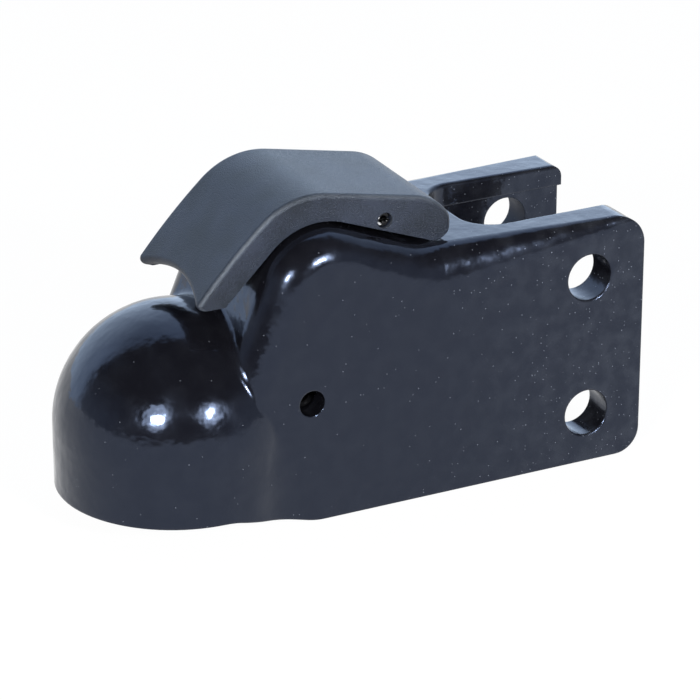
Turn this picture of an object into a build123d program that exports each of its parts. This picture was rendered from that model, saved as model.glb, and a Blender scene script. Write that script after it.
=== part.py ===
from build123d import *
from math import acos, atan2, cos, degrees, hypot, radians, sin, sqrt, tan
import os

os.makedirs("parts", exist_ok=True)

# Sizes in millimetres and degrees. The origin is the centre of the hitch ball, X runs back to the
# trailer, Y runs across and Z runs up.

# Ball socket
ball_dia = 58.74
socket_clearance = 0.6
socket_wall = 11.9
rim_drop = 19.4
dome_rise = 2.0

# Casting
body_width = 72.6
wall_thickness = 12.2
rear_x = 161.1
bottom_drop = 28.3
ramp_start_x = 2.0
ramp_end_x = 35.0
ramp_round = 24.0
rear_bottom_round = 9.0
rear_top_round = 11.0
far_top_round = 4.5
crease_round = 3.0
flare_r = 30.0
flare_low_z = -8.0
flare_top_z = 10.0
flare_root = 4.0
edge_round = 0.8

# Hump and top of the casting
hump_front_lean = 67.3
hump_front_foot_x = -3.0
hump_peak_x = 42.4
hump_peak_z = 73.2
hump_round = 23.2
hump_rear_slope = 21.8
valley_z = 60.5
valley_round = 30.0
rear_top_z = 61.1
rear_lean = 2.6
peak_corner = 11.5
valley_corner_width = 10.0
valley_corner_drop = 16.0
rear_corner_width = 1.5
rear_corner_drop = 2.5
loft_seam_z = 30.0
loft_steps = 8

# Rear channel and its bolts
slot_front_x = 103.3
slot_corner = 12.0
slot_lip_inset = 2.8
slot_lip_z = 51.5
slot_edge_round = 1.5
bolt_hole_dia = 16.66
bolt_spacing = 50.8
bolt_x = 139.9
bolt_low_z = -10.0

# Chamber behind the socket
chamber_width = 40.0
chamber_roof_z = 53.0
chamber_front_x = 38.2
chamber_hub_roof_z = 26.0
chamber_mouth_x = 15.0

# Jaw pin and jaw
jaw_pin_x = 33.73
jaw_pin_z = 15.28
jaw_pin_dia = 9.3
pin_press_gap = 0.03
pin_running_gap = 0.06
jaw_pin_recess = 8.0
pin_wall_share = 0.24
pin_slit = 1.4
pin_lead = 0.5
jaw_open = 13.5
jaw_pad_gap = 0.33
jaw_hub_r = 8.5
jaw_hub_width = 18.0
jaw_side_gap = 1.0
jaw_heel_x = 46.9
jaw_heel_z = 3.0
jaw_heel_r = 3.0
jaw_heel_gap = 0.35
jaw_back_low = (43.0, -14.0)
jaw_bottom_back = (37.5, -24.5)
jaw_bottom_front = (23.5, -21.8)
jaw_tip_back = (19.5, -17.5)
jaw_side_top_z = 8.0
jaw_bottom_round = 4.0
jaw_neck_angle = 20.0

# Jaw springs
jaw_wire = 2.0
jaw_coil_gap = 0.35
jaw_coil_pitch = 2.1
jaw_coil_turns = 3
jaw_leg_down = 17.0
jaw_leg_up = 17.0

# Handle
handle_width = 49.4
cheek = 5.0
roof = 3.0
handle_edge_round = 1.8
handle_gap = 1.5
nose_x = -3.5
nose_z = 50.9
nose_heading = 51.5
nose_round = 216.0
nose_sweep = 9.7
crown_round = 28.0
roof_slope = 11.2
tail_round = 20.0
knuckle_x = 85.8
knuckle_z = 66.5
knuckle_r = 6.0
knuckle_gap = 0.35
cheek_nose_z = 50.6
cheek_nose_heading = 44.4
nose_hollow = 7.3
nose_tip_round = 2.0
handle_open = 35.0

# Handle pin
handle_pin_x = 66.7
handle_pin_z = 70.9
handle_pin_dia = 5.56
handle_pin_recess = 1.6

# Lock wedge
eye_slot_tilt = 30.0
eye_slot_gap = 0.35
eye_wall = 2.2
eye_thickness = 8.0
stem_gap = 0.35
wedge_taper = 15.0
wedge_top_z = 24.0
wedge_bottom_z = -10.0
wedge_width = 30.0
wedge_rear_gap = 0.5
wedge_pocket_wall = 8.0
wedge_pocket_top_z = 12.0

# Lock spring
lock_wire = 2.6
lock_coil_gap = 0.45
lock_coils = 4.5

# Values that follow from the sizes above
socket_r = ball_dia / 2 + socket_clearance
dome_r = socket_r + socket_wall
half_width = body_width / 2
slot_half = half_width - wall_thickness
lip_half = slot_half - slot_lip_inset
jaw_pin_r = jaw_pin_dia / 2
handle_pin_r = handle_pin_dia / 2
far = 4 * dome_r
tol = 0.01


def prism(outline, half, y_mid=0.0):
    """Solid of a closed X-Z outline, reaching half to each side of Y = y_mid."""
    return Pos(0, y_mid, 0) * extrude(Plane.XZ * make_face(outline), half, both=True)


def polar(centre, radius, angle):
    """Point at an angle, in degrees, on a circle."""
    return (centre[0] + radius * cos(radians(angle)), centre[1] + radius * sin(radians(angle)))


def arc(centre, radius, start, end):
    """Arc of a circle from one angle to another, in degrees."""
    return ThreePointArc(
        polar(centre, radius, start), polar(centre, radius, (start + end) / 2), polar(centre, radius, end)
    )


def cross_rod(x, z, radius, length, y_mid=0.0):
    """Round bar along Y."""
    return Pos(x, y_mid, z) * Rot(90, 0, 0) * Cylinder(radius, length)


def rounded(sketch, x, y, radius):
    """Sketch with the corner nearest to a point rounded."""
    return fillet(sketch.vertices().sort_by_distance((x, y, 0))[0], radius)


def turned(point, about, angle):
    """Point turned about another, anticlockwise in the X-Z plane."""
    dx = point[0] - about[0]
    dz = point[1] - about[1]
    c = cos(radians(angle))
    s = sin(radians(angle))
    return (about[0] + dx * c - dz * s, about[1] + dx * s + dz * c)


def tangent_angle(centre, radius, point, side):
    """Angle, in degrees, at which a line from a point touches a circle on one side (1 or -1)."""
    dx = point[0] - centre[0]
    dz = point[1] - centre[1]
    return degrees(atan2(dz, dx) + side * acos(radius / hypot(dx, dz)))


def spring_pin(x, z, radius, length):
    """Rolled pin along Y with a slit along its rear side and tapered leads."""
    bar = chamfer(Cylinder(radius, length).edges().filter_by(GeomType.CIRCLE), pin_lead)
    tube = bar - Cylinder(radius * (1 - 2 * pin_wall_share), length)
    slit = Pos(radius, 0, 0) * Box(2 * radius, pin_slit, length)
    return Pos(x, 0, z) * Rot(90, 0, 0) * (tube - slit)


# Linkage: how far the handle pin moves while the handle opens, and how far the wedge rises with it
pin_start = (handle_pin_x, handle_pin_z)
knuckle = (knuckle_x, knuckle_z)
pin_end = turned(pin_start, knuckle, -handle_open)
pin_run = pin_end[0] - pin_start[0]
slot_fall = pin_run * tan(radians(eye_slot_tilt))
slot_rear = (pin_start[0] + pin_run, pin_start[1] - slot_fall)
slot_r = handle_pin_r + eye_slot_gap
eye_r = slot_r + eye_wall
stem_x = (pin_start[0] + slot_rear[0]) / 2
stem_half = pin_run / 2 + eye_r
stem_reach = hypot(stem_half, eye_thickness / 2)
lock_coil_r = stem_reach + lock_coil_gap + lock_wire / 2
chamber_rear_x = stem_x + lock_coil_r + lock_wire / 2 + lock_coil_gap
jaw_pivot = (jaw_pin_x, jaw_pin_z)
jaw_coil_r = jaw_pin_r + jaw_coil_gap + jaw_wire / 2
wedge_slope = tan(radians(wedge_taper))

# Casting: front and peak of the hump
peak_centre = (hump_peak_x, hump_peak_z - hump_round)
front_angle = 90 + hump_front_lean
front_tangent = polar(peak_centre, hump_round, front_angle)
front_foot_z = front_tangent[1] - (front_tangent[0] - hump_front_foot_x) * tan(radians(hump_front_lean))
hump_front = prism(
    [
        Polyline((hump_front_foot_x, -bottom_drop), (hump_front_foot_x, front_foot_z), front_tangent),
        arc(peak_centre, hump_round, front_angle, 90),
        Polyline(
            (hump_peak_x, hump_peak_z),
            (hump_peak_x, -bottom_drop),
            (hump_front_foot_x, -bottom_drop),
        ),
    ],
    half_width,
)
hump_edges = [
    e
    for e in hump_front.edges()
    if abs(abs((e @ 0.5).Y) - half_width) < tol
    and (e @ 0.5).Z > front_foot_z + tol
    and abs((e @ 0.5).X - hump_peak_x) > tol
    and abs((e @ 0.5).X - hump_front_foot_x) > tol
]
hump_front = fillet(hump_edges, peak_corner)

# Casting: the dome and the skirt round the ball
dome = Rot(0, 0, 180) * revolve(
    Plane.XZ
    * make_face(
        [
            arc((0, dome_rise), dome_r, 90, 0),
            Polyline(
                (dome_r, dome_rise),
                (dome_r, -bottom_drop),
                (0, -bottom_drop),
                (0, dome_rise + dome_r),
            ),
        ]
    ),
    Axis.Z,
)
front = hump_front + dome
crease = [
    e
    for e in front.edges()
    if abs(hypot((e @ 0.5).X, (e @ 0.5).Y, max((e @ 0.5).Z - dome_rise, 0)) - dome_r) < tol
    and abs((e @ 0).Z - (e @ 1).Z) + abs((e @ 0.5).Z - (e @ 1).Z) > tol
    and (e @ 0.5).X > 0
]
front = fillet(crease, crease_round)

# Casting: a soft flare on each side, where the skirt runs into the flat sides
def flare_plan(z):
    """Plan of the flare at a height: its round shrinks from the skirt up to the dome's crease."""
    share = (z - flare_low_z) / (flare_top_z - flare_low_z)
    round_r = flare_r + (crease_round - flare_r) * share**2 * (3 - 2 * share)
    ring_r = sqrt(dome_r**2 - max(z - dome_rise, 0) ** 2)
    centre = (sqrt((ring_r + round_r) ** 2 - (half_width + round_r) ** 2), half_width + round_r)
    angle = degrees(atan2(centre[1], centre[0]))
    return Plane.XY.offset(z) * make_face(
        [
            arc(centre, round_r, 180 + angle, 270),
            Polyline(
                (centre[0], half_width),
                (sqrt(ring_r**2 - half_width**2), half_width - flare_root),
                polar((0, 0), ring_r, angle),
            ),
        ]
    )


flare_rise = flare_top_z - flare_low_z
flare = loft([flare_plan(flare_low_z + flare_rise * step / loft_steps) for step in range(loft_steps + 1)])
flare += extrude(flare_plan(flare_low_z), -flare_low_z - bottom_drop)
front += [flare, mirror(flare, Plane.XZ)]

# Casting: rear slope of the hump, valley under the handle's tail, and the tapering rear
slope_tangent = polar(peak_centre, hump_round, 90 - hump_rear_slope)
slope = tan(radians(hump_rear_slope))
slope_foot_x = slope_tangent[0] + (slope_tangent[1] - valley_z) / slope
valley_tangent = valley_round * tan(radians(hump_rear_slope / 2))
valley_x = slope_foot_x + valley_tangent


def top_z(x):
    """Height of the casting's top between the peak and the valley."""
    if x <= slope_tangent[0]:
        return peak_centre[1] + sqrt(hump_round**2 - (x - hump_peak_x) ** 2)
    if x <= slope_foot_x - valley_tangent * cos(radians(hump_rear_slope)):
        return slope_tangent[1] - (x - slope_tangent[0]) * slope
    return valley_z + valley_round - sqrt(valley_round**2 - (valley_x - x) ** 2)


def top_section(x, z, across, drop, lean=0.0):
    """Cross-section above the loft seam, its far side lower by lean, its corners quarters of an ellipse."""
    left = EllipticalCenterArc((across - half_width, z - drop), across, drop, 90, arc_size=90)
    right = EllipticalCenterArc((half_width - across, z - lean - drop), across, drop, 0, arc_size=90)
    return Plane.YZ.offset(x) * make_face(
        [
            Polyline(left @ 1, (-half_width, loft_seam_z), (half_width, loft_seam_z), right @ 0),
            right,
            Line(right @ 1, left @ 0),
            left,
        ]
    )


slope_sections = []
for step in range(loft_steps + 1):
    share = step / loft_steps
    x = hump_peak_x + (valley_x - hump_peak_x) * share
    across = peak_corner + (valley_corner_width - peak_corner) * share
    drop = peak_corner + (valley_corner_drop - peak_corner) * share
    slope_sections.append(top_section(x, top_z(x), across, drop))
slope_block = loft(slope_sections)
rear_block = loft(
    [
        top_section(valley_x, valley_z, valley_corner_width, valley_corner_drop),
        top_section(rear_x, rear_top_z, rear_corner_width, rear_corner_drop, rear_lean),
    ],
    ruled=True,
)
low_block = Pos((hump_peak_x + rear_x) / 2, 0, (loft_seam_z - bottom_drop) / 2) * Box(
    rear_x - hump_peak_x, body_width, loft_seam_z + bottom_drop
)
casting = front + low_block + slope_block + rear_block

# Casting: the slot between the two rear walls, a little narrower above the parting line
def slot_plan(half):
    """Plan of the slot, open to the rear, with its two front corners rounded."""
    slot_end_x = rear_x + dome_r
    plan = Pos((slot_front_x + slot_end_x) / 2, 0) * Rectangle(slot_end_x - slot_front_x, 2 * half)
    plan = rounded(plan, slot_front_x, half, slot_corner)
    return rounded(plan, slot_front_x, -half, slot_corner)


casting -= Pos(0, 0, slot_lip_z) * extrude(slot_plan(lip_half), far)
slot_edges = [
    e
    for e in casting.edges()
    if (e @ 0.5).Z > valley_z
    and (e @ 0.5).X > slot_front_x - tol
    and abs((e @ 0.5).Y) < lip_half + tol
    and abs((e @ 0).Z - (e @ 1).Z) < 1
]
casting = fillet(slot_edges, slot_edge_round)
casting -= Pos(0, 0, -far) * extrude(slot_plan(slot_half), far + slot_lip_z)

# Casting: side outline, with the rim, the ramp down to the flat underside and the rounded rear corners
side = make_face(
    Polyline(
        (-far, -rim_drop),
        (ramp_start_x, -rim_drop),
        (ramp_end_x, -bottom_drop),
        (rear_x, -bottom_drop),
        (rear_x, rear_top_z),
        (slot_front_x, rear_top_z),
        (slot_front_x, far),
        (-far, far),
        close=True,
    )
)
side = rounded(side, ramp_start_x, -rim_drop, ramp_round)
side = rounded(side, ramp_end_x, -bottom_drop, ramp_round)
side = rounded(side, rear_x, -bottom_drop, rear_bottom_round)
casting &= extrude(Plane.XZ * side, far, both=True)

# Casting: rounded upper rear corners, which follow the lean of the top; the far wall's is tighter
for hand, corner_r in ((-1, rear_top_round), (1, far_top_round)):
    corner_x = rear_x - corner_r
    corner_lean = rear_lean * (corner_x - valley_x) / (rear_x - valley_x)
    corner = Pos(corner_x, rear_top_z - corner_lean / 2) * (
        Pos(far / 2, far / 2 - corner_r) * Rectangle(far, far) - Pos(0, -corner_r) * Circle(corner_r)
    )
    casting -= extrude(Plane.XZ * corner, far, dir=(0, hand * body_width, -hand * corner_lean))

# Casting: socket, chamber, stem hole, knuckle seat and cross holes
casting -= Sphere(socket_r) + Pos(0, 0, -far / 2) * Cylinder(socket_r, far)
casting -= prism(
    Polyline(
        (chamber_mouth_x, -far),
        (chamber_mouth_x, jaw_pin_z),
        (jaw_pin_x - jaw_hub_r, chamber_hub_roof_z),
        (chamber_front_x, chamber_hub_roof_z),
        (chamber_front_x, chamber_roof_z),
        (chamber_rear_x, chamber_roof_z),
        (chamber_rear_x, -far),
        close=True,
    ),
    chamber_width / 2,
)
casting -= Pos(stem_x, 0, far / 2) * Box(
    2 * (stem_half + stem_gap), eye_thickness + 2 * stem_gap, far
)
casting -= cross_rod(knuckle_x, knuckle_z, knuckle_r + knuckle_gap, handle_width + 2 * knuckle_gap)
casting -= cross_rod(jaw_pin_x, jaw_pin_z, jaw_pin_r + pin_press_gap, far)
bolt_zs = [bolt_low_z, bolt_low_z + bolt_spacing]
for z in bolt_zs:
    casting -= cross_rod(bolt_x, z, bolt_hole_dia / 2, far)
hole_edges = [
    e
    for e in casting.edges().filter_by(GeomType.CIRCLE)
    if abs(abs((e @ 0.5).Y) - half_width) < tol
    and min(hypot(e.arc_center.X - bolt_x, e.arc_center.Z - z) for z in bolt_zs) < tol
]
casting = fillet(hole_edges, edge_round)
export_step(casting, "parts/coupler_body.step")

# Jaw pin and handle pin
export_step(
    spring_pin(jaw_pin_x, jaw_pin_z, jaw_pin_r, body_width - 2 * jaw_pin_recess), "parts/jaw_pin.step"
)
export_step(
    spring_pin(handle_pin_x, handle_pin_z, handle_pin_r, handle_width - 2 * handle_pin_recess),
    "parts/handle_pin.step",
)

# Jaw: a hub on the pin, a heel that the wedge backs, and a hooked pad round the ball
jaw_half = chamber_width / 2 - jaw_side_gap
hub_side_length = jaw_half - jaw_hub_width / 2
hub_side_y = (jaw_half + jaw_hub_width / 2) / 2
heel_centre = polar((jaw_heel_x, jaw_heel_z), jaw_heel_r, 180 + wedge_taper)
jaw_neck = polar(jaw_pivot, jaw_hub_r, jaw_neck_angle)
heel_low = tangent_angle(heel_centre, jaw_heel_r, jaw_back_low, 1)
heel_high = tangent_angle(heel_centre, jaw_heel_r, jaw_neck, -1)
jaw_outline = make_face(
    [
        arc(heel_centre, jaw_heel_r, heel_low, heel_high),
        Polyline(
            polar(heel_centre, jaw_heel_r, heel_high),
            jaw_neck,
            jaw_pivot,
            jaw_tip_back,
            jaw_bottom_front,
            jaw_bottom_back,
            jaw_back_low,
            polar(heel_centre, jaw_heel_r, heel_low),
        ),
    ]
)
jaw_outline = rounded(jaw_outline, *jaw_bottom_back, jaw_bottom_round)
jaw_outline += Pos(*jaw_pivot) * Circle(jaw_hub_r)
jaw = extrude(Plane.XZ * jaw_outline, jaw_half, both=True)
jaw_leg_x = jaw_pin_x + jaw_coil_r - jaw_wire / 2 - jaw_coil_gap
jaw_leg_z = jaw_pin_z - jaw_leg_down - jaw_wire
for side_y in (hub_side_y, -hub_side_y):
    jaw -= cross_rod(
        jaw_pin_x, jaw_pin_z, jaw_coil_r + jaw_wire / 2 + jaw_coil_gap, hub_side_length, side_y
    )
    jaw -= Pos(jaw_pin_x, side_y, jaw_side_top_z + far / 2) * Box(far, hub_side_length, far)
    jaw -= Pos(jaw_leg_x + far / 2, side_y, jaw_leg_z + far / 2) * Box(far, hub_side_length, far)
pad = Sphere(ball_dia / 2 + jaw_pad_gap)
open_ball = turned((0, 0), jaw_pivot, -jaw_open)
jaw -= pad
jaw -= Pos(open_ball[0], 0, open_ball[1]) * pad
jaw -= cross_rod(jaw_pin_x, jaw_pin_z, jaw_pin_r + pin_running_gap, far)
export_step(jaw, "parts/ball_jaw.step")

# Jaw springs: turns round the pin, one leg down behind the pad and one up to the chamber's front
coil_length = jaw_coil_pitch * jaw_coil_turns
coil_y = hub_side_y + coil_length / 2
coil_plane = Plane(origin=(jaw_pin_x, coil_y, jaw_pin_z), x_dir=(1, 0, 0), z_dir=(0, -1, 0))
coil = coil_plane * Helix(jaw_coil_pitch, coil_length, jaw_coil_r)
leg_down = Line(coil @ 0 - jaw_leg_down * (coil % 0), coil @ 0)
leg_up = Line(coil @ 1, coil @ 1 + jaw_leg_up * (coil % 1))
jaw_wire_section = Plane(origin=leg_down @ 0, z_dir=leg_down % 0) * Circle(jaw_wire / 2)
jaw_spring = sweep(jaw_wire_section, path=leg_down + coil + leg_up)
export_step(jaw_spring, "parts/jaw_spring_left.step")
export_step(mirror(jaw_spring, Plane.XZ), "parts/jaw_spring_right.step")

# Lock wedge: an eye for the handle pin, a flat stem through the roof and the wedge behind the jaw
wedge_rear_x = chamber_rear_x - wedge_rear_gap
wedge_top_x = jaw_heel_x + jaw_heel_gap - (wedge_top_z - jaw_heel_z) * wedge_slope
wedge_bottom_x = jaw_heel_x + jaw_heel_gap + (jaw_heel_z - wedge_bottom_z) * wedge_slope


def eye_outline(radius):
    """Slot-shaped X-Z outline from the pin's closed place to its open one."""
    circle = CenterArc((0, 0), radius, 0, 360)
    return Plane.XZ * make_hull([Pos(*pin_start) * circle, Pos(*slot_rear) * circle])


lock = extrude(eye_outline(eye_r), eye_thickness / 2, both=True)
lock += Pos(stem_x, 0, (slot_rear[1] + wedge_top_z) / 2) * Box(
    2 * stem_half, eye_thickness, slot_rear[1] - wedge_top_z
)
lock -= extrude(eye_outline(slot_r), eye_thickness, both=True)
lock += prism(
    Polyline(
        (wedge_top_x, wedge_top_z),
        (wedge_rear_x, wedge_top_z),
        (wedge_rear_x, wedge_bottom_z),
        (wedge_bottom_x, wedge_bottom_z),
        close=True,
    ),
    wedge_width / 2,
)
lock -= prism(
    Polyline(
        (wedge_bottom_x + wedge_pocket_wall, -far),
        (wedge_bottom_x + wedge_pocket_wall, wedge_pocket_top_z),
        (wedge_rear_x - wedge_pocket_wall, wedge_pocket_top_z),
        (wedge_rear_x - wedge_pocket_wall, -far),
        close=True,
    ),
    wedge_width / 2 - wedge_pocket_wall,
)
export_step(lock, "parts/lock_wedge.step")

# Lock spring: between the chamber's roof and the top of the wedge
spring_rise = chamber_roof_z - wedge_top_z - lock_wire
lock_path = Pos(stem_x, 0, wedge_top_z + lock_wire / 2) * Helix(
    spring_rise / lock_coils, spring_rise, lock_coil_r
)
lock_section = Plane(origin=lock_path @ 0, z_dir=lock_path % 0) * Circle(lock_wire / 2)
export_step(sweep(lock_section, path=lock_path), "parts/lock_spring.step")

# Handle: roof outline from the nose to the tail, at a given depth below the surface
nose_end = nose_heading - nose_sweep


def roof_edges(depth):
    """Edges of the roof outline from the nose to the start of the tail's curve, and where they end."""
    start = polar((nose_x, nose_z), depth, nose_heading - 90)
    nose_centre = polar((nose_x, nose_z), nose_round, nose_heading - 90)
    nose = arc(nose_centre, nose_round - depth, nose_heading + 90, nose_end + 90)
    crown_centre = polar(nose_centre, nose_round - crown_round, nose_end + 90)
    crown = arc(crown_centre, crown_round - depth, nose_end + 90, 90 - roof_slope)
    return start, [nose, crown], polar(crown_centre, crown_round - depth, 90 - roof_slope)


nose_start, roof_top, crown_end = roof_edges(0)
slope_dir = (cos(radians(roof_slope)), -sin(radians(roof_slope)))
inward = (-sin(radians(roof_slope)), -cos(radians(roof_slope)))
tail_offset = (
    knuckle_x - crown_end[0] - tail_round * inward[0],
    knuckle_z - crown_end[1] - tail_round * inward[1],
)
along = tail_offset[0] * slope_dir[0] + tail_offset[1] * slope_dir[1]
aside = tail_offset[0] * inward[0] + tail_offset[1] * inward[1]
roof_length = along - sqrt((tail_round - knuckle_r) ** 2 - aside**2)
tail_start = (crown_end[0] + roof_length * slope_dir[0], crown_end[1] + roof_length * slope_dir[1])
tail_centre = (tail_start[0] + tail_round * inward[0], tail_start[1] + tail_round * inward[1])
tail_angle = degrees(atan2(knuckle_z - tail_centre[1], knuckle_x - tail_centre[0]))
knuckle_rear = polar(knuckle, knuckle_r, 0)
foot_z = front_foot_z
nose_blank = polar(nose_start, nose_hollow, nose_heading + 180)
cap = prism(
    [
        Line(nose_blank, nose_start),
        *roof_top,
        Line(crown_end, tail_start),
        arc(tail_centre, tail_round, 90 - roof_slope, tail_angle),
        arc(knuckle, knuckle_r, tail_angle, 0),
        Polyline(knuckle_rear, (knuckle_rear[0], foot_z), (nose_blank[0], foot_z), nose_blank),
    ],
    handle_width,
)
handle_half = handle_width / 2
nose_plan = make_face(
    [
        ThreePointArc((0, -handle_half), (nose_hollow, 0), (0, handle_half)),
        Polyline((0, handle_half), (far, handle_half), (far, -handle_half), (0, -handle_half)),
    ]
)
nose_plan = rounded(nose_plan, 0, handle_half, nose_tip_round)
nose_plan = rounded(nose_plan, 0, -handle_half, nose_tip_round)
nose_plane = Plane(
    origin=(nose_x, 0, nose_z),
    x_dir=(cos(radians(nose_heading)), 0, sin(radians(nose_heading))),
    z_dir=(-sin(radians(nose_heading)), 0, cos(radians(nose_heading))),
)
cap &= extrude(nose_plane * nose_plan, far, both=True)
cap_edges = [
    e
    for e in cap.edges()
    if abs(abs((e @ 0.5).Y) - handle_half) < tol
    and (e @ 0.5).Z > nose_z
    and (e @ 0.5).X < knuckle_rear[0] - tol
]
cap = fillet(cap_edges, handle_edge_round)

# Handle: everything under the cheeks' lower edges is taken away, following the hump
under_r = hump_round + handle_gap
under_d = (knuckle_x - peak_centre[0], knuckle_z - peak_centre[1])
under_angle = degrees(atan2(under_d[1], under_d[0]) + acos((under_r + knuckle_r) / hypot(*under_d)))
under_front = polar(peak_centre, under_r, 90 + cheek_nose_heading)
under_nose_x = under_front[0] - (under_front[1] - cheek_nose_z) / tan(radians(cheek_nose_heading))
cap -= prism(
    [
        Polyline(
            (nose_start[0] - dome_r, cheek_nose_z), (under_nose_x, cheek_nose_z), under_front
        ),
        arc(peak_centre, under_r, 90 + cheek_nose_heading, under_angle),
        Line(polar(peak_centre, under_r, under_angle), polar(knuckle, knuckle_r, under_angle + 180)),
        arc(knuckle, knuckle_r, under_angle + 180, 360),
        Polyline(
            knuckle_rear,
            (knuckle_rear[0] + dome_r, knuckle_z),
            (knuckle_rear[0] + dome_r, foot_z - dome_r),
            (nose_start[0] - dome_r, foot_z - dome_r),
            (nose_start[0] - dome_r, cheek_nose_z),
        ),
    ],
    far,
)

# Handle: the hollow between the cheeks and the pin's holes
inner_start, inner_top, inner_end = roof_edges(roof)
hollow_rear_x = knuckle_x - knuckle_r
hollow_rear_z = inner_end[1] - (hollow_rear_x - inner_end[0]) * tan(radians(roof_slope))
inner_front = polar(inner_start, dome_r, nose_heading + 180)
cap -= prism(
    [
        Line(inner_front, inner_start),
        *inner_top,
        Polyline(inner_end, (hollow_rear_x, hollow_rear_z), (hollow_rear_x, knuckle_z)),
        arc(knuckle, knuckle_r, 180, 270),
        Polyline(polar(knuckle, knuckle_r, 270), (knuckle_x, inner_front[1]), inner_front),
    ],
    handle_half - cheek,
)
cap -= cross_rod(handle_pin_x, handle_pin_z, handle_pin_r + pin_press_gap, far)
export_step(cap, "parts/latch_handle.step")
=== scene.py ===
from math import cos, radians, sin, tau

import bpy
import numpy as np
from bpy.props import FloatProperty, FloatVectorProperty, PointerProperty
from mathutils import Matrix, Vector


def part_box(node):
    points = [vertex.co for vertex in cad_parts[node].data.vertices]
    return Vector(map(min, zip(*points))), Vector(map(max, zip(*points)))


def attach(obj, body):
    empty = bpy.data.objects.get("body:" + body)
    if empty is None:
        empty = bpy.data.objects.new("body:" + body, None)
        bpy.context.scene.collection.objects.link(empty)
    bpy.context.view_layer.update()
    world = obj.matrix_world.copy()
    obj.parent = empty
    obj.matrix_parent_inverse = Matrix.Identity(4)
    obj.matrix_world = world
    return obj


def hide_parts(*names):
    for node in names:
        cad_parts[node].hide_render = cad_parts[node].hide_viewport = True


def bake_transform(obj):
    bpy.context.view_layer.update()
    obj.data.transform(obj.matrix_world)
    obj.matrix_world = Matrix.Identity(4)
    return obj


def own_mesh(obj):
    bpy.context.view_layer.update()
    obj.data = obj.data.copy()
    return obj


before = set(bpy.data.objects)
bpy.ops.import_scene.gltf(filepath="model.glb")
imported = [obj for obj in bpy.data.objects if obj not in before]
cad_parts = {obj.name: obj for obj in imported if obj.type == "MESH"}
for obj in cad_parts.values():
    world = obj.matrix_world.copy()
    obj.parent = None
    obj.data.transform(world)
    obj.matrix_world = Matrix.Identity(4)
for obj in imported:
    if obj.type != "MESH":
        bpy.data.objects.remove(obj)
bpy.context.view_layer.update()
BODY_LOW, BODY_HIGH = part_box("coupler_body")
HANDLE_LOW, HANDLE_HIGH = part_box("latch_handle")
UNIT_X = Vector((1.0, 0.0, 0.0))
UNIT_Y = Vector((0.0, 1.0, 0.0))
UNIT_Z = Vector((0.0, 0.0, 1.0))
WHITE = (1.0, 1.0, 1.0)

# Steps along each turn of a spring, points round its wire, and rings and turns of the floor
RING_STEPS = 40
WIRE_SIDES = 16
FLOOR_RINGS = 24
FLOOR_TURNS = 96

# Ramps: where one starts and ends, and its values there if they aren't 0 and 1
NOISE_SPAN = (0.3, 0.7)
SMUDGE_SPAN = (0.36, 0.70, 0.15, 1.0)
RUBBED_GLINT_SPAN = (0.60, 0.66)
HIGH_GRAIN_SPAN = (0.52, 0.70)
WORN_HIGHLIGHT_BREAKS = (0.35, 0.60, 0.35, 0.90)
BORE_SIDES = (-0.01, 0.01, 0.12, 1.0)
SHEET_SPAN = (0.16, 0.30)
SHEET_ACROSS = (-0.5, 0.1, 0.95, 1.35)
SHEET_RIGHT = (0.20, 0.75, 1.0, 0.35)
SHEET_OVERHEAD = (0.45, 0.95, 1.0, 0.6)
HORIZON_SPAN = (0.0, 0.06, 1.0, 0.0)
WALLS_ASIDE = (-0.85, -0.30, 0.18, 1.0)
WALLS_HEIGHT = (0.15, 0.65, 1.0, 0.0)

# Shares of the pale band of wear and painted edge highlight, counted from the handle's side, at which it
# ends, fades and starts
WORN_HIGHLIGHT_OUTER, WORN_HIGHLIGHT_FADE, WORN_HIGHLIGHT_INNER = 0.02, 0.25, 0.35
# Dark and light patches of the coat, as multiples of its colour
COAT_DARK, COAT_LIGHT = 0.2, 2.0
# Share of the casting's length at which its dust and its painted sheen start, and the dust and the smudged
# layer of dust and painted sheen on its front
DUST_AND_SHEEN_START, DUST_AND_SHEEN_FRONT, FILM_AND_SHEEN_FRONT = 0.55, 0.12, 0.05
# Roughness that a speck adds, and how far past its reach a dull bore fades
SPECK_DULL, BORE_FADE = 0.4, 1.05
# Distance of the shades, as a multiple of the lamps'
SHADE_SETBACK = 1.05
CAMERA_CLIP = (0.05, 20.0)
# Dark parts of the wire, as a multiple of its colour
WIRE_DARK = 0.65

bl_info = {
    "name": "Trailer coupling head",
    "version": (1, 0, 0),
    "blender": (4, 5, 0),
    "location": "View3D > Sidebar > Coupling",
    "description": "Finishes of a cast trailer coupling head and the studio that it is shown in",
    "category": "Object",
}


def colour_setting(name, description, default):
    """Colour property, in linear light."""
    return FloatVectorProperty(
        name=name, description=description, default=default, size=3, min=0, max=1, subtype="COLOR"
    )


def length_setting(name, description, default):
    """Length property, in metres."""
    return FloatProperty(name=name, description=description, default=default, min=0, unit="LENGTH")


def share_setting(name, description, default):
    """Property from none to all."""
    return FloatProperty(
        name=name, description=description, default=default, min=0, max=1, subtype="FACTOR"
    )


def angle_setting(name, description, degrees):
    """Angle property."""
    return FloatProperty(
        name=name, description=description, default=radians(degrees), subtype="ANGLE", unit="ROTATION"
    )


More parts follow.
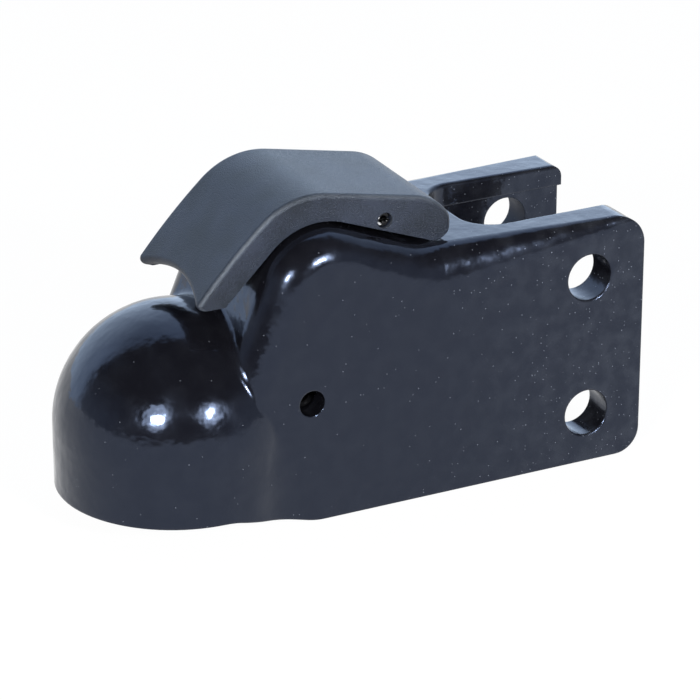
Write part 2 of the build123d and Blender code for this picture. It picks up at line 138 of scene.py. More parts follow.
class EnamelSettings(bpy.types.PropertyGroup):
    """Gloss enamel on the casting."""

    colour: colour_setting("Enamel", "Colour under the gloss", (0.0033, 0.0033, 0.0047))
    gloss_tint: colour_setting("Gloss tint", "Tint of the gloss seen straight on", (0.52, 0.66, 1.0))
    # Colour of the dust, which also paints a sheen that pales the sides towards the rear
    dust_and_sheen_colour: colour_setting("Dust", "Colour of the fine dust on the flat sides", (0.42, 0.46, 0.53))
    gloss_low: share_setting("Roughness, glossy", "Roughness where the enamel has flowed out", 0.08)
    gloss_high: share_setting("Roughness, dull", "Roughness where the enamel is thin", 0.20)
    lump: length_setting("Lump size", "Spacing of the slow waves left by the sand mould", 0.012)
    lump_depth: length_setting("Lump depth", "Height of those waves", 0.00046)
    peel: length_setting("Peel size", "Spacing of the fine ripple in the enamel", 0.0032)
    peel_depth: length_setting("Peel depth", "Height of the ripple", 0.00010)
    soft_edge: length_setting("Soft edge", "Radius that the enamel leaves on a sharp edge", 0.0008)
    speck: length_setting("Speck spacing", "Spacing of the dust specks", 0.0011)
    speck_radius: length_setting("Speck radius", "Radius of the dust specks", 0.00022)
    speck_share: share_setting("Speck share", "Share of the spots at the rear that hold a speck", 0.30)
    speck_cover: share_setting("Speck cover", "Cover of each speck", 0.24)
    smudge: length_setting("Smudge size", "Spacing of the smudges in the film of dust", 0.006)
    bore_x: length_setting("Bore place", "Distance from the ball's centre back to the bolt holes", 0.1399)
    bore_z: length_setting("Bore height", "Height midway between the bolt holes", 0.0154)
    bore_spacing: length_setting("Bore spacing", "Distance between the bolt holes", 0.0508)
    bore_reach: length_setting("Bore reach", "Distance from a hole's axis to its dull wall", 0.0086)
    bore_dull: share_setting("Bore roughness", "Roughness that the holes' thin paint adds", 0.45)
    # Cover of the layer of dust smudges and painted sheen, which grows towards the rear
    film_and_sheen: share_setting("Film", "Cover of the film of dust where it is thickest", 0.020)
    index: FloatProperty(name="Index", description="Refractive index of the enamel", default=1.53, min=1)


class CoatSettings(bpy.types.PropertyGroup):
    """Textured powder coat on the handle."""

    colour: colour_setting("Coat", "Colour of the textured coat", (0.0074, 0.0092, 0.0156))
    # Pale edge colour: rubbed coat and a painted highlight along the roof's rounded edges
    worn_highlight_colour: colour_setting(
        "Worn edge", "Colour of the coat where its edges have rubbed", (0.050, 0.056, 0.066)
    )
    gloss_tint: colour_setting("Gloss tint", "Tint of the coat's gloss seen straight on", (0.75, 0.86, 1.0))
    grain: length_setting("Grain size", "Spacing of the coat's grain", 0.0006)
    grain_depth: length_setting("Grain depth", "Height of the grain", 0.00026)
    roughness: share_setting("Roughness", "Roughness of the coat", 0.37)
    index: FloatProperty(name="Index", description="Refractive index of the coat", default=1.44, min=1)
    # Width of the pale edge band of rubbed coat and painted highlight
    worn_highlight_band: length_setting("Worn band", "Width of the rubbed band along the roof's edges", 0.0016)


class MetalSettings(bpy.types.PropertyGroup):
    """Bare metal of the pins, the springs, the jaw and the lock."""

    pin_colour: colour_setting("Pin steel", "Colour of the phosphated pins", (0.020, 0.020, 0.022))
    # Jaw pin colour: dark steel, darkened further as painted shade deep in its hole
    jaw_pin_dark_and_shade: colour_setting("Jaw pin", "Colour of the dull pin deep in its hole", (0.004, 0.004, 0.005))
    # Colour of the rubbed places, which also paint glints on the pins' ends
    pin_rubbed_glint: colour_setting("Rubbed pin", "Colour of the pins where they are rubbed", (0.62, 0.63, 0.65))
    spring_colour: colour_setting("Spring steel", "Colour of the spring wire", (0.30, 0.30, 0.31))
    iron_colour: colour_setting("Cast iron", "Colour of the jaw and the lock", (0.085, 0.085, 0.088))
    iron_worn: colour_setting("Rubbed iron", "Colour of the iron's high grain", (0.26, 0.26, 0.26))
    streak: length_setting("Streak size", "Spacing of the drawing marks on the wire", 0.0004)
    # Spacing of the rubbed places, which also paint the pins' glints
    rub_glint: length_setting("Rub size", "Spacing of the rubbed places on the pins", 0.0016)
    sand: length_setting("Sand size", "Spacing of the sand marks on the iron", 0.0011)
    streak_depth: length_setting("Streak depth", "Height of the drawing marks", 0.000006)
    pit_depth: length_setting("Pit depth", "Height of the pins' fine grain", 0.00002)
    sand_depth: length_setting("Sand depth", "Height of the sand marks", 0.00009)
    wire_rough: share_setting("Wire roughness", "Middle roughness of the wire", 0.34)
    pin_rough: share_setting("Rubbed roughness", "Least roughness of the rubbed pin", 0.30)
    bore_rough: share_setting("Dull roughness", "Least roughness of the dull pin", 0.55)


class SpringSettings(bpy.types.PropertyGroup):
    """Wire springs of the lock and the jaw."""

    lock_wire: length_setting("Lock wire", "Width of the lock spring's wire", 0.0026)
    lock_turns: FloatProperty(name="Lock turns", description="Turns of the lock spring", default=4.5, min=1)
    jaw_wire: length_setting("Jaw wire", "Width of the jaw springs' wire", 0.0020)
    jaw_turns: FloatProperty(name="Jaw turns", description="Turns of each jaw spring", default=3.0, min=1)
    jaw_pitch: length_setting("Jaw pitch", "Spacing of the turns of a jaw spring", 0.0021)
    jaw_leg: length_setting("Jaw leg", "Length of each straight leg of a jaw spring", 0.0170)


class StageSettings(bpy.types.PropertyGroup):
    """Camera, floor and light."""

    floor_reach: length_setting("Floor", "Distance from the middle of the floor to its edge", 3.0)
    floor_gap: length_setting("Floor gap", "Gap between the floor and the casting's underside", 0.0002)
    floor_colour: colour_setting("Floor colour", "Colour of the floor", (0.92, 0.92, 0.92))
    shadow_share: share_setting("Shadow", "How much of its shadow the floor shows", 0.03)
    camera_aim: FloatVectorProperty(
        name="Aim",
        description="Point in the middle of the picture",
        default=(0.06658, 0.00097, 0.01378),
        size=3,
        subtype="TRANSLATION",
        unit="LENGTH",
    )
    camera_azimuth: angle_setting("Azimuth", "Turn of the camera round the object", -26.816)
    camera_elevation: angle_setting("Elevation", "Height of the camera over the horizon", 23.715)
    camera_distance: length_setting("Distance", "Distance from the camera to its aim", 1.26968)
    camera_lens: FloatProperty(
        name="Lens", description="Focal length", default=189.14, unit="CAMERA", subtype="DISTANCE_CAMERA"
    )
    lamp_size: length_setting("Lamp size", "Width of each lamp's round panel", 0.20)
    lamp_distance: length_setting("Lamp distance", "Distance from the lamps to the dome", 1.5)
    lamp_power: FloatProperty(name="Lamp power", description="Power of each lamp", default=21.0, unit="POWER")
    shade_size: length_setting("Shade size", "Width of the dim shade behind each lamp", 0.62)
    shade_power: FloatProperty(
        name="Shade power", description="Power of each shade", default=6.0, unit="POWER"
    )
    lamp_elevation: angle_setting("Lamp elevation", "Height of the lamps over the horizon", 24.0)
    left_lamp: angle_setting("Left lamp", "Azimuth of the left lamp", -43.0)
    right_lamp: angle_setting("Right lamp", "Azimuth of the right lamp", 11.0)
    room_colour: colour_setting("Room", "Colour of the room over the camera", (0.030, 0.032, 0.036))
    wall_colour: colour_setting("Walls", "Colour of the low walls round the camera", (0.36, 0.40, 0.46))
    sheet_colour: colour_setting("Backdrop", "Colour of the sheet behind the object", (0.64, 0.79, 1.0))
    sheet_light: FloatProperty(
        name="Backdrop light",
        description="How bright the lit sheet is next to the floor",
        default=1.75,
        min=0,
    )


def put(tree, kind, values=None, **settings):
    """Adds a node with its settings, and gives each named socket a value or a link."""
    node = tree.nodes.new(kind)
    for key, value in settings.items():
        setattr(node, key, value)
    for key, value in (values or {}).items():
        if isinstance(value, bpy.types.NodeSocket):
            tree.links.new(value, node.inputs[key])
        else:
            node.inputs[key].default_value = value
    return node


def reckon(tree, operation, *values):
    """Output of a Math node on one to three values."""
    return put(tree, "ShaderNodeMath", dict(enumerate(values)), operation=operation).outputs[0]


def ramp(tree, value, low, high, to_low=0.0, to_high=1.0):
    """Output of a smooth step from one value to another while the input goes from low to high."""
    settings = {"Value": value, "From Min": low, "From Max": high, "To Min": to_low, "To Max": to_high}
    return put(tree, "ShaderNodeMapRange", settings, interpolation_type="SMOOTHSTEP").outputs["Result"]


def blend_colours(tree, mask, first, second):
    """Output of a colour that goes from the first to the second with the mask."""
    node = put(tree, "ShaderNodeMix", data_type="RGBA")
    for socket, value in zip((node.inputs[0], node.inputs[6], node.inputs[7]), (mask, first, second)):
        if isinstance(value, bpy.types.NodeSocket):
            tree.links.new(value, socket)
        else:
            socket.default_value = value
    return node.outputs[2]


def rgba(colour):
    """Colour with full cover."""
    return (*colour, 1.0)


def noise(tree, vector, size, detail):
    """Output of a noise whose features are about size apart."""
    scale = reckon(tree, "DIVIDE", 1.0, size)
    settings = {"Vector": vector, "Scale": scale, "Detail": detail}
    return put(tree, "ShaderNodeTexNoise", settings).outputs["Fac"]


def bumped(tree, height, depth, normal=None):
    """Output of a normal that a height of the given depth has bent."""
    values = {"Strength": 1.0, "Distance": depth, "Height": height}
    if normal is not None:
        values["Normal"] = normal
    return put(tree, "ShaderNodeBump", values).outputs["Normal"]


def start_group(name, inputs, outputs):
    """New shader node group with the named sockets, and its input and output nodes."""
    tree = bpy.data.node_groups.new(name, "ShaderNodeTree")
    for socket in inputs:
        kind = "NodeSocketVector" if socket == "Vector" else "NodeSocketFloat"
        tree.interface.new_socket(socket, in_out="INPUT", socket_type=kind)
    for socket in outputs:
        tree.interface.new_socket(socket, in_out="OUTPUT", socket_type="NodeSocketFloat")
    return tree, put(tree, "NodeGroupInput").outputs, put(tree, "NodeGroupOutput")


def end_group(tree, sink, results):
    """Links the results to the group's outputs."""
    for name, socket in results.items():
        tree.links.new(socket, sink.inputs[name])
    return tree


def cast_surface_group():
    """Slow lumps from a sand mould, and a fine ripple: one noise each."""
    tree, given, sink = start_group("cast_surface", ("Vector", "Lump", "Peel"), ("Lumps", "Ripple"))
    lumps = noise(tree, given["Vector"], given["Lump"], 1.5)
    ripple = noise(tree, given["Vector"], given["Peel"], 1.0)
    return end_group(tree, sink, {"Lumps": lumps, "Ripple": ripple})


def dust_group():
    """Fine specks: round spots at the middle of some cells of a Voronoi pattern."""
    tree, given, sink = start_group("dust_specks", ("Vector", "Spacing", "Radius", "Share"), ("Mask",))
    scale = reckon(tree, "DIVIDE", 1.0, given["Spacing"])
    cells = put(tree, "ShaderNodeTexVoronoi", {"Vector": given["Vector"], "Scale": scale})
    edge = reckon(tree, "DIVIDE", given["Radius"], given["Spacing"])
    middle = reckon(tree, "MULTIPLY", edge, 0.5)
    spot = ramp(tree, cells.outputs["Distance"], middle, edge, 1.0, 0.0)
    parts = put(tree, "ShaderNodeSeparateColor", {"Color": cells.outputs["Color"]})
    chosen = reckon(tree, "LESS_THAN", parts.outputs["Red"], given["Share"])
    return end_group(tree, sink, {"Mask": reckon(tree, "MULTIPLY", spot, chosen)})


def grain_group():
    """Grain: a noise and another of half its size, added, as a height and as an uneven tone."""
    tree, given, sink = start_group("fine_grain", ("Vector", "Size"), ("Height", "Tone"))
    coarse = noise(tree, given["Vector"], given["Size"], 2.0)
    fine = noise(tree, given["Vector"], reckon(tree, "MULTIPLY", given["Size"], 0.5), 1.0)
    height = reckon(tree, "MULTIPLY_ADD", fine, 0.4, reckon(tree, "MULTIPLY", coarse, 0.6))
    slow = noise(tree, given["Vector"], reckon(tree, "MULTIPLY", given["Size"], 24.0), 2.0)
    tone = reckon(tree, "MULTIPLY_ADD", slow, 0.5, reckon(tree, "MULTIPLY", height, 0.5))
    return end_group(tree, sink, {"Height": height, "Tone": tone})


def drawn_group():
    """Drawing marks along Y: a noise stretched twenty times along Y."""
    tree, given, sink = start_group("drawn_marks", ("Vector", "Size"), ("Marks",))
    stretched = put(
        tree, "ShaderNodeVectorMath", {0: given["Vector"], 1: (1.0, 0.05, 1.0)}, operation="MULTIPLY"
    )
    return end_group(tree, sink, {"Marks": noise(tree, stretched.outputs[0], given["Size"], 3.0)})


def group(name, maker):
    """The named node group, made the first time that it is asked for."""
    return bpy.data.node_groups.get(name) or maker()


def start_material(name):
    """Empty material with a principled shader, its node tree, that shader and the object's coordinates."""
    material = bpy.data.materials.new(name)
    material.use_nodes = True
    tree = material.node_tree
    tree.nodes.clear()
    shader = put(tree, "ShaderNodeBsdfPrincipled")
    put(tree, "ShaderNodeOutputMaterial", {"Surface": shader.outputs["BSDF"]})
    place = put(tree, "ShaderNodeTexCoord").outputs["Object"]
    return material, tree, shader, place


def use_group(tree, name, maker, **values):
    """Places a node group, with the values of its inputs, and gives its outputs."""
    return put(tree, "ShaderNodeGroup", values, node_tree=group(name, maker)).outputs


def set_sockets(shader, **values):
    """Sets plain values on the shader's own sockets, whose names have spaces for the underscores."""
    for key, value in values.items():
        shader.inputs[key.replace("_", " ")].default_value = value


def feed(tree, shader, **sockets):
    """Links sockets to the shader's inputs, whose names have spaces for the underscores."""
    for key, socket in sockets.items():
        tree.links.new(socket, shader.inputs[key.replace("_", " ")])


def dress(material, *nodes):
    """Gives nodes of the frame a material."""
    for name in nodes:
        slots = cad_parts[name].data.materials
        slots.clear()
        slots.append(material)


def enamel(paint):
    """Gloss black enamel over a sand casting, dusty towards the rear, paled there too by a painted sheen, and
    dull in the far bolt holes.
    """
    material, tree, shader, place = start_material("gloss_enamel")
    cast = use_group(
        tree, "cast_surface", cast_surface_group, Vector=place, Lump=paint.lump, Peel=paint.peel
    )
    axes = put(tree, "ShaderNodeSeparateXYZ", {"Vector": place}).outputs
    along = axes["X"]
    dust_and_sheen_start = BODY_LOW.x + DUST_AND_SHEEN_START * (BODY_HIGH.x - BODY_LOW.x)
    rear = ramp(tree, along, dust_and_sheen_start, BODY_HIGH.x, DUST_AND_SHEEN_FRONT, 1.0)
    dust = use_group(
        tree,
        "dust_specks",
        dust_group,
        Vector=place,
        Spacing=paint.speck,
        Radius=paint.speck_radius,
        Share=reckon(tree, "MULTIPLY", rear, paint.speck_share),
    )
    specks = reckon(tree, "MULTIPLY", dust["Mask"], paint.speck_cover)
    smudges = ramp(tree, noise(tree, place, paint.smudge, 5.0), *SMUDGE_SPAN)
    # Dust smudges plus a painted sheen: the layer grows towards the rear, so the sides pale there as if they
    # reflected more light
    painted_rear_sheen = reckon(tree, "MULTIPLY_ADD", rear, 1.0 - FILM_AND_SHEEN_FRONT, FILM_AND_SHEEN_FRONT)
    film_and_sheen = reckon(tree, "MULTIPLY", reckon(tree, "MULTIPLY", smudges, painted_rear_sheen), paint.film_and_sheen)
    cover = reckon(tree, "MAXIMUM", specks, film_and_sheen)
    colour = blend_colours(tree, cover, rgba(paint.colour), rgba(paint.dust_and_sheen_colour))
    dull = ramp(tree, cast["Lumps"], *NOISE_SPAN, paint.gloss_low, paint.gloss_high)
    aft = reckon(tree, "SUBTRACT", along, paint.bore_x)
    above = reckon(tree, "ABSOLUTE", reckon(tree, "SUBTRACT", axes["Z"], paint.bore_z))
    above = reckon(tree, "SUBTRACT", above, paint.bore_spacing / 2)
    squares = reckon(tree, "MULTIPLY_ADD", aft, aft, reckon(tree, "MULTIPLY", above, above))
    away = reckon(tree, "SQRT", squares)
    bore = ramp(tree, away, paint.bore_reach, BORE_FADE * paint.bore_reach, paint.bore_dull, 0.0)
    bore = reckon(tree, "MULTIPLY", bore, ramp(tree, axes["Y"], *BORE_SIDES))
    rough = reckon(tree, "ADD", reckon(tree, "MULTIPLY_ADD", specks, SPECK_DULL, dull), bore)
    rounded = put(tree, "ShaderNodeBevel", {"Radius": paint.soft_edge}, samples=6).outputs["Normal"]
    lumps = bumped(tree, cast["Lumps"], paint.lump_depth, rounded)
    ripple = bumped(tree, cast["Ripple"], paint.peel_depth, lumps)
    set_sockets(shader, IOR=paint.index, Specular_Tint=rgba(paint.gloss_tint))
    feed(tree, shader, Base_Color=colour, Roughness=rough, Normal=ripple)
    return material


def textured_coat(coat):
    """Charcoal powder coat with a fine grain, rubbed paler along the edges of the roof, a pale band that is
    also a painted edge highlight.
    """
    material, tree, shader, place = start_material("textured_coat")
    grain = use_group(tree, "fine_grain", grain_group, Vector=place, Size=coat.grain)
    across = reckon(tree, "ABSOLUTE", put(tree, "ShaderNodeSeparateXYZ", {"Vector": place}).outputs["Y"])
    # Pale band along the roof's rounded edges: rubbed coat and a painted edge highlight
    side = HANDLE_HIGH.y
    rise = ramp(tree, across, side - coat.worn_highlight_band, side - WORN_HIGHLIGHT_INNER * coat.worn_highlight_band)
    fade, outer = side - WORN_HIGHLIGHT_FADE * coat.worn_highlight_band, side - WORN_HIGHLIGHT_OUTER * coat.worn_highlight_band
    fall = ramp(tree, across, fade, outer, 1.0, 0.0)
    broken = ramp(tree, grain["Tone"], *WORN_HIGHLIGHT_BREAKS)
    worn_highlight = reckon(tree, "MULTIPLY", reckon(tree, "MULTIPLY", rise, fall), broken)
    patchy = ramp(tree, grain["Tone"], *NOISE_SPAN)
    base = Vector(coat.colour)
    uneven = blend_colours(tree, patchy, rgba(COAT_DARK * base), rgba(COAT_LIGHT * base))
    colour = blend_colours(tree, worn_highlight, uneven, rgba(coat.worn_highlight_colour))
    rough = ramp(tree, grain["Height"], *NOISE_SPAN, coat.roughness - 0.06, coat.roughness + 0.1)
    grained = bumped(tree, grain["Height"], coat.grain_depth)
    set_sockets(shader, IOR=coat.index, Specular_Tint=rgba(coat.gloss_tint))
    feed(tree, shader, Base_Color=colour, Roughness=rough, Normal=grained)
    return material


def spring_wire(metal):
    """Bright drawn wire, with drawing marks along Y and an uneven tone."""
    material, tree, shader, place = start_material("spring_wire")
    marks = use_group(tree, "drawn_marks", drawn_group, Vector=place, Size=metal.streak)["Marks"]
    grain = use_group(tree, "fine_grain", grain_group, Vector=place, Size=metal.streak)
    bright = Vector(metal.spring_colour)
    tone = blend_colours(
        tree, ramp(tree, grain["Tone"], *NOISE_SPAN), rgba(WIRE_DARK * bright), rgba(bright)
    )
    rough = ramp(tree, marks, *NOISE_SPAN, metal.wire_rough - 0.08, metal.wire_rough + 0.12)
    set_sockets(shader, Metallic=1.0)
    streaked = bumped(tree, marks, metal.streak_depth)
    feed(tree, shader, Base_Color=tone, Roughness=rough, Normal=streaked)
    return material


def phosphated_steel(name, colour, worn_highlight_colour, metal, roughness):
    """Dark steel of the rolled pins, rubbed to another colour in small places, which also stand in as painted
    glints.
    """
    material, tree, shader, place = start_material(name)
    grain = use_group(tree, "fine_grain", grain_group, Vector=place, Size=metal.streak)
    # Rubbed places that also paint glints
    rubbed = ramp(tree, noise(tree, place, metal.rub_glint, 2.0), *RUBBED_GLINT_SPAN)
    tone = blend_colours(tree, rubbed, rgba(colour), rgba(worn_highlight_colour))
    rough = ramp(tree, grain["Height"], *NOISE_SPAN, roughness, roughness + 0.18)
    set_sockets(shader, Metallic=0.9)
    pitted = bumped(tree, grain["Height"], metal.pit_depth)
    feed(tree, shader, Base_Color=tone, Roughness=rough, Normal=pitted)
    return material


def sand_cast_iron(metal):
    """Dark iron with the marks of a sand mould, rubbed bright on its high grain."""
    material, tree, shader, place = start_material("sand_cast_iron")
    cast = use_group(
        tree, "cast_surface", cast_surface_group, Vector=place, Lump=8 * metal.sand, Peel=metal.sand
    )
    grain = use_group(tree, "fine_grain", grain_group, Vector=place, Size=metal.sand)
    high = ramp(tree, grain["Height"], *HIGH_GRAIN_SPAN)
    colour = blend_colours(tree, high, rgba(metal.iron_colour), rgba(metal.iron_worn))
    rough = ramp(tree, cast["Lumps"], *NOISE_SPAN, 0.42, 0.6)
    set_sockets(shader, Metallic=0.7)
    sandy = bumped(tree, grain["Height"], metal.sand_depth)
    feed(tree, shader, Base_Color=colour, Roughness=rough, Normal=sandy)
    return material


def wound_wire(name, start, along, over, radius, rise, turns, leg, wire, material):
    """Wire wound round an axis: at a turn t the middle of the wire lies radius from the axis, at cos t
    along +X and sin t along over, and a share t of the rise along the axis from start. Past either end
    it goes on straight for the length of a leg. Round the middle, a ring of points lies wire / 2 away.
    """
    whole = tau * turns
    length = np.hypot(radius * whole, rise)
    run = np.concatenate([[-leg], np.linspace(0.0, length, int(RING_STEPS * turns)), [length + leg]])
    run = run if leg > 0 else run[1:-1]
    on_coil = np.clip(run, 0.0, length)
    turn = (on_coil / length * whole)[:, None]
    ahead, up, axis = np.array(UNIT_X), np.array(over), np.array(along)
    outward = np.cos(turn) * ahead + np.sin(turn) * up
    forward = radius * whole * (np.cos(turn) * up - np.sin(turn) * ahead) + rise * axis
    forward /= length
    middle = np.array(start) + radius * outward + turn / whole * rise * axis
    middle += (run - on_coil)[:, None] * forward
    sideways = np.cross(forward, outward)
    round_wire = np.linspace(0.0, tau, WIRE_SIDES, endpoint=False)[None, :, None]
    rings = np.cos(round_wire) * outward[:, None] + np.sin(round_wire) * sideways[:, None]
    points = (middle[:, None] + wire / 2 * rings).reshape(-1, 3)
    first = np.arange(len(points)).reshape(-1, WIRE_SIDES)
    beside = np.roll(first, -1, axis=1)
    sides = np.stack([first[:-1], beside[:-1], beside[1:], first[1:]], axis=-1).reshape(-1, 4)
    ends = [first[0, ::-1].tolist(), first[-1].tolist()]
    mesh = bpy.data.meshes.new(name)
    mesh.from_pydata(points.tolist(), [], sides.tolist() + ends)
    mesh.polygons.foreach_set("use_smooth", np.arange(len(sides) + len(ends)) < len(sides))
    mesh.materials.append(material)
    spring = bpy.data.objects.new(name, mesh)
    bpy.context.scene.collection.objects.link(spring)
    return spring


def wind_lock_spring(springs, material):
    """Coil round the lock's stem, attached to the casting."""
    low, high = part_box("lock_spring")
    wire = springs.lock_wire
    radius = (high.x - low.x - wire) / 2
    start = Vector(((low.x + high.x) / 2, (low.y + high.y) / 2, low.z + wire / 2))
    rise = high.z - low.z - wire
    spring = wound_wire(
        "lock_coil", start, UNIT_Z, UNIT_Y, radius, rise, springs.lock_turns, 0.0, wire, material
    )
    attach(spring, "casting")
    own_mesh(spring)
    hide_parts("lock_spring")


def wind_jaw_spring(node, along, springs, material):
    """Coil round the jaw pin, with a leg on the jaw and a leg on the casting."""
    low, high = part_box(node)
    pin_low, pin_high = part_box("jaw_pin")
    wire = springs.jaw_wire
    radius = (high.x - low.x - wire) / 2
    rise = springs.jaw_pitch * springs.jaw_turns
    middle = Vector(((low.x + high.x) / 2, (low.y + high.y) / 2, (pin_low.z + pin_high.z) / 2))
    jaw_end = middle - along * rise / 2
    spring = wound_wire(
        node + "_coil",
        jaw_end,
        along,
        UNIT_Z,
        radius,
        rise,
        springs.jaw_turns,
        springs.jaw_leg,
        wire,
        material,
    )
    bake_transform(spring)
    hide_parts(node)


class COUPLING_OT_paint_casting(bpy.types.Operator):
    """Gives the casting its gloss enamel"""

    bl_idname = "coupling.paint_casting"
    bl_label = "Paint casting"

    def execute(self, context):
        dress(enamel(context.scene.coupling_enamel), "coupler_body")
        return {"FINISHED"}


class COUPLING_OT_coat_handle(bpy.types.Operator):
    """Gives the handle its textured coat"""

    bl_idname = "coupling.coat_handle"
    bl_label = "Coat handle"

    def execute(self, context):
        dress(textured_coat(context.scene.coupling_coat), "latch_handle")
        return {"FINISHED"}


class COUPLING_OT_finish_pins(bpy.types.Operator):
    """Gives the rolled pins their phosphated steel, with rubbed places that also paint glints on the handle
    pin, and the jaw pin darkened as painted shade deep in its hole
    """

    bl_idname = "coupling.finish_pins"
    bl_label = "Finish pins"

    def execute(self, context):
        metal = context.scene.coupling_metal
        # Handle pin: rubbed places that also paint its glints
        rubbed = phosphated_steel("rubbed_glinting_steel", metal.pin_colour, metal.pin_rubbed_glint, metal, metal.pin_rough)
        # Jaw pin: near black, dark steel with painted shade deep in its hole
        dull = phosphated_steel("dull_shaded_steel", metal.jaw_pin_dark_and_shade, metal.pin_colour, metal, metal.bore_rough)
        dress(rubbed, "handle_pin")
        dress(dull, "jaw_pin")
        return {"FINISHED"}


class COUPLING_OT_wind_springs(bpy.types.Operator):
    """Winds the springs"""

    bl_idname = "coupling.wind_springs"
    bl_label = "Wind springs"

    def execute(self, context):
        metal = context.scene.coupling_metal
        springs = context.scene.coupling_springs
        wire = spring_wire(metal)
        wind_lock_spring(springs, wire)
        wind_jaw_spring("jaw_spring_left", -UNIT_Y, springs, wire)
        wind_jaw_spring("jaw_spring_right", UNIT_Y, springs, wire)
        return {"FINISHED"}


class COUPLING_OT_finish_jaw_and_lock(bpy.types.Operator):
    """Gives the jaw and the lock their cast iron"""

    bl_idname = "coupling.finish_jaw_and_lock"
    bl_label = "Finish jaw and lock"

    def execute(self, context):
        dress(sand_cast_iron(context.scene.coupling_metal), "ball_jaw", "lock_wedge")
        return {"FINISHED"}


def heading(azimuth, elevation):
    """Unit vector towards a place seen at an azimuth, 0 on -Y and rising to +X, and an elevation."""
    flat = cos(elevation)
    return Vector((sin(azimuth) * flat, -cos(azimuth) * flat, sin(elevation)))


def facing(place, back):
    """Matrix of something at a place that looks along its own -Z, away from back, with its Y upwards."""
    turn = back.to_track_quat("Z", "Y").to_matrix().to_4x4()
    return Matrix.Translation(place) @ turn


def make_floor(stage):
    """Floor under the casting: a disc, with rings of points at growing radii round its middle."""
    radii = np.linspace(0.0, 1.0, FLOOR_RINGS) ** 2 * stage.floor_reach
    turns = np.linspace(0.0, tau, FLOOR_TURNS, endpoint=False)
    radius, turn = np.meshgrid(radii[1:], turns, indexing="ij")
    level = BODY_LOW.z - stage.floor_gap
    height = np.full(radius.size, level)
    rings = np.column_stack([(radius * np.cos(turn)).ravel(), (radius * np.sin(turn)).ravel(), height])
    points = np.vstack([[0.0, 0.0, level], rings])
    first = np.arange(rings.shape[0]).reshape(radius.shape) + 1
    after = np.roll(first, -1, axis=1)
    quads = np.stack([first[:-1], first[1:], after[1:], after[:-1]], axis=-1).reshape(-1, 4)
    middle = np.column_stack([np.zeros(len(turns), int), first[0], after[0]])
    mesh = bpy.data.meshes.new("floor")
    mesh.from_pydata(points.tolist(), [], middle.tolist() + quads.tolist())
    floor = bpy.data.objects.new("floor", mesh)
    bpy.context.scene.collection.objects.link(floor)
    mesh.materials.append(floor_finish(stage))


def floor_finish(stage):
    """Pale floor that is white to the camera and in reflections, but for a share of its shadow."""
    material = bpy.data.materials.new("pale_floor")
    material.use_nodes = True
    tree = material.node_tree
    tree.nodes.clear()
    path = put(tree, "ShaderNodeLightPath").outputs
    seen = reckon(tree, "MAXIMUM", path["Is Camera Ray"], path["Is Glossy Ray"])
    seen = reckon(tree, "MAXIMUM", seen, path["Is Transmission Ray"])
    share = reckon(tree, "MULTIPLY", seen, 1.0 - stage.shadow_share)
    lit = put(tree, "ShaderNodeBsdfDiffuse", {"Color": rgba(stage.floor_colour)})
    white = put(tree, "ShaderNodeEmission", {"Color": rgba(WHITE), "Strength": 1.0})
    mixed = put(tree, "ShaderNodeMixShader", {0: share, 1: lit.outputs[0], 2: white.outputs[0]})
    put(tree, "ShaderNodeOutputMaterial", {"Surface": mixed.outputs[0]})
    return material


def make_room(stage):
    """World: white to the camera; to the object a dark room, a pale sheet behind it and a pale horizon."""
    world = bpy.data.worlds.new("studio_room")
    bpy.context.scene.world = world
    world.use_nodes = True
    tree = world.node_tree
    tree.nodes.clear()
    direction = put(tree, "ShaderNodeTexCoord").outputs["Generated"]
    behind = -heading(stage.camera_azimuth, 0.0)
    beside = behind.cross(UNIT_Z)
    depth = put(tree, "ShaderNodeVectorMath", {0: direction, 1: behind}, operation="DOT_PRODUCT")
    height = put(tree, "ShaderNodeSeparateXYZ", {"Vector": direction}).outputs["Z"]
    wide = ramp(tree, depth.outputs["Value"], *SHEET_SPAN)
    horizon = ramp(tree, height, *HORIZON_SPAN)
    aside = ramp(tree, depth.outputs["Value"], *WALLS_ASIDE)
    low = reckon(tree, "MULTIPLY", ramp(tree, height, *WALLS_HEIGHT), aside)
    walls = blend_colours(tree, low, rgba(stage.room_colour), rgba(stage.wall_colour))
    ground = blend_colours(tree, horizon, walls, rgba(WHITE))
    colour = blend_colours(tree, wide, ground, rgba(stage.sheet_colour))
    across = put(tree, "ShaderNodeVectorMath", {0: direction, 1: beside}, operation="DOT_PRODUCT")
    middle = ramp(tree, across.outputs["Value"], *SHEET_ACROSS)
    overhead = ramp(tree, height, *SHEET_OVERHEAD)
    edge = ramp(tree, across.outputs["Value"], *SHEET_RIGHT)
    spread = reckon(tree, "MULTIPLY", reckon(tree, "MULTIPLY", middle, overhead), edge)
    bright = reckon(tree, "MULTIPLY_ADD", spread, stage.sheet_light, -1.0)
    light = reckon(tree, "MULTIPLY_ADD", wide, bright, 1.0)
    room = put(tree, "ShaderNodeBackground", {"Color": colour, "Strength": light})
    white = put(tree, "ShaderNodeBackground", {"Color": rgba(WHITE), "Strength": 1.0})
    seen = put(tree, "ShaderNodeLightPath").outputs["Is Camera Ray"]
    mixed = put(tree, "ShaderNodeMixShader", {0: seen, 1: room.outputs[0], 2: white.outputs[0]})
    put(tree, "ShaderNodeOutputWorld", {"Surface": mixed.outputs[0]})


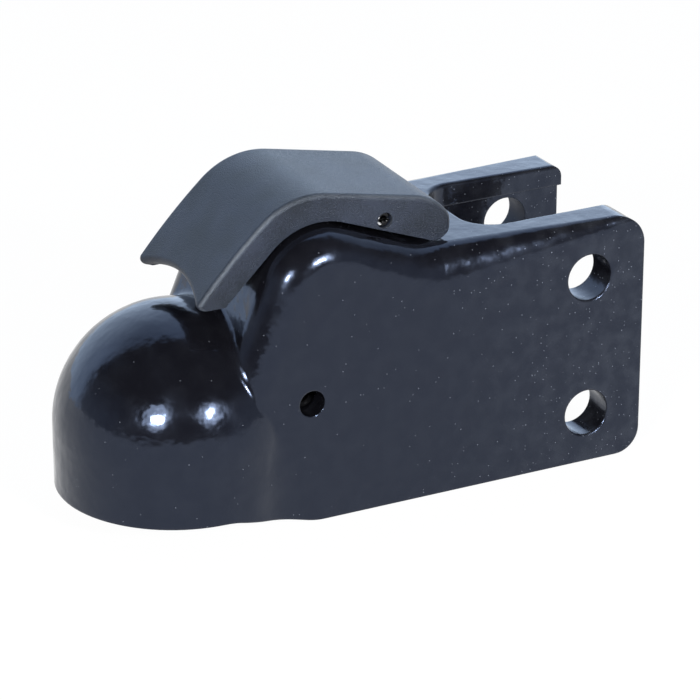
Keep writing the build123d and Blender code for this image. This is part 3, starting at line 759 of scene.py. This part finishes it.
def make_lamp(name, azimuth, stage):
    """Round lamp that looks at the dome from an azimuth, in front of a wider and dimmer shade."""
    back = heading(azimuth, stage.lamp_elevation)
    for part, size, power, distance in (
        ("bulb", stage.lamp_size, stage.lamp_power, stage.lamp_distance),
        ("shade", stage.shade_size, stage.shade_power, SHADE_SETBACK * stage.lamp_distance),
    ):
        light = bpy.data.lights.new(name + "_" + part, "AREA")
        light.shape = "DISK"
        light.size = size
        light.energy = power
        lamp = bpy.data.objects.new(light.name, light)
        bpy.context.scene.collection.objects.link(lamp)
        lamp.matrix_world = facing(back * distance, back)
        lamp.visible_camera = False


def make_camera(stage):
    """Camera at the picture's angle."""
    data = bpy.data.cameras.new("camera")
    data.lens = stage.camera_lens
    data.clip_start, data.clip_end = CAMERA_CLIP
    camera = bpy.data.objects.new("camera", data)
    bpy.context.scene.collection.objects.link(camera)
    back = heading(stage.camera_azimuth, stage.camera_elevation)
    camera.matrix_world = facing(Vector(stage.camera_aim) + back * stage.camera_distance, back)
    bpy.context.scene.camera = camera


class COUPLING_OT_set_stage(bpy.types.Operator):
    """Makes the floor, the room, the lamps and the camera"""

    bl_idname = "coupling.set_stage"
    bl_label = "Set stage"

    def execute(self, context):
        stage = context.scene.coupling_stage
        make_floor(stage)
        make_room(stage)
        make_lamp("left_lamp", stage.left_lamp, stage)
        make_lamp("right_lamp", stage.right_lamp, stage)
        make_camera(stage)
        context.scene.view_settings.view_transform = "Standard"
        return {"FINISHED"}


class COUPLING_PT_sidebar(bpy.types.Panel):
    """Settings and steps of the coupling head"""

    bl_label = "Coupling head"
    bl_idname = "COUPLING_PT_sidebar"
    bl_space_type = "VIEW_3D"
    bl_region_type = "UI"
    bl_category = "Coupling"

    def draw(self, context):
        for operator in OPERATORS:
            self.layout.operator(operator.bl_idname)
        for name in SETTINGS:
            box = self.layout.box()
            settings = getattr(context.scene, name)
            for key in settings.bl_rna.properties.keys():
                if key not in ("name", "rna_type"):
                    box.prop(settings, key)


SETTINGS = {
    "coupling_enamel": EnamelSettings,
    "coupling_coat": CoatSettings,
    "coupling_metal": MetalSettings,
    "coupling_springs": SpringSettings,
    "coupling_stage": StageSettings,
}
OPERATORS = (
    COUPLING_OT_paint_casting,
    COUPLING_OT_coat_handle,
    COUPLING_OT_finish_pins,
    COUPLING_OT_wind_springs,
    COUPLING_OT_finish_jaw_and_lock,
    COUPLING_OT_set_stage,
)


def register():
    """Registers the settings, the operators and the panel."""
    for name, settings in SETTINGS.items():
        bpy.utils.register_class(settings)
        setattr(bpy.types.Scene, name, PointerProperty(type=settings))
    for item in (*OPERATORS, COUPLING_PT_sidebar):
        bpy.utils.register_class(item)


def unregister():
    """Takes the panel, the operators and the settings away again."""
    for item in (COUPLING_PT_sidebar, *reversed(OPERATORS)):
        bpy.utils.unregister_class(item)
    for name, settings in SETTINGS.items():
        delattr(bpy.types.Scene, name)
        bpy.utils.unregister_class(settings)


def main():
    """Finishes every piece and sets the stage."""
    register()
    bpy.ops.coupling.paint_casting()
    bpy.ops.coupling.coat_handle()
    bpy.ops.coupling.finish_pins()
    bpy.ops.coupling.wind_springs()
    bpy.ops.coupling.finish_jaw_and_lock()
    bpy.ops.coupling.set_stage()


if __name__ == "__main__":
    main()
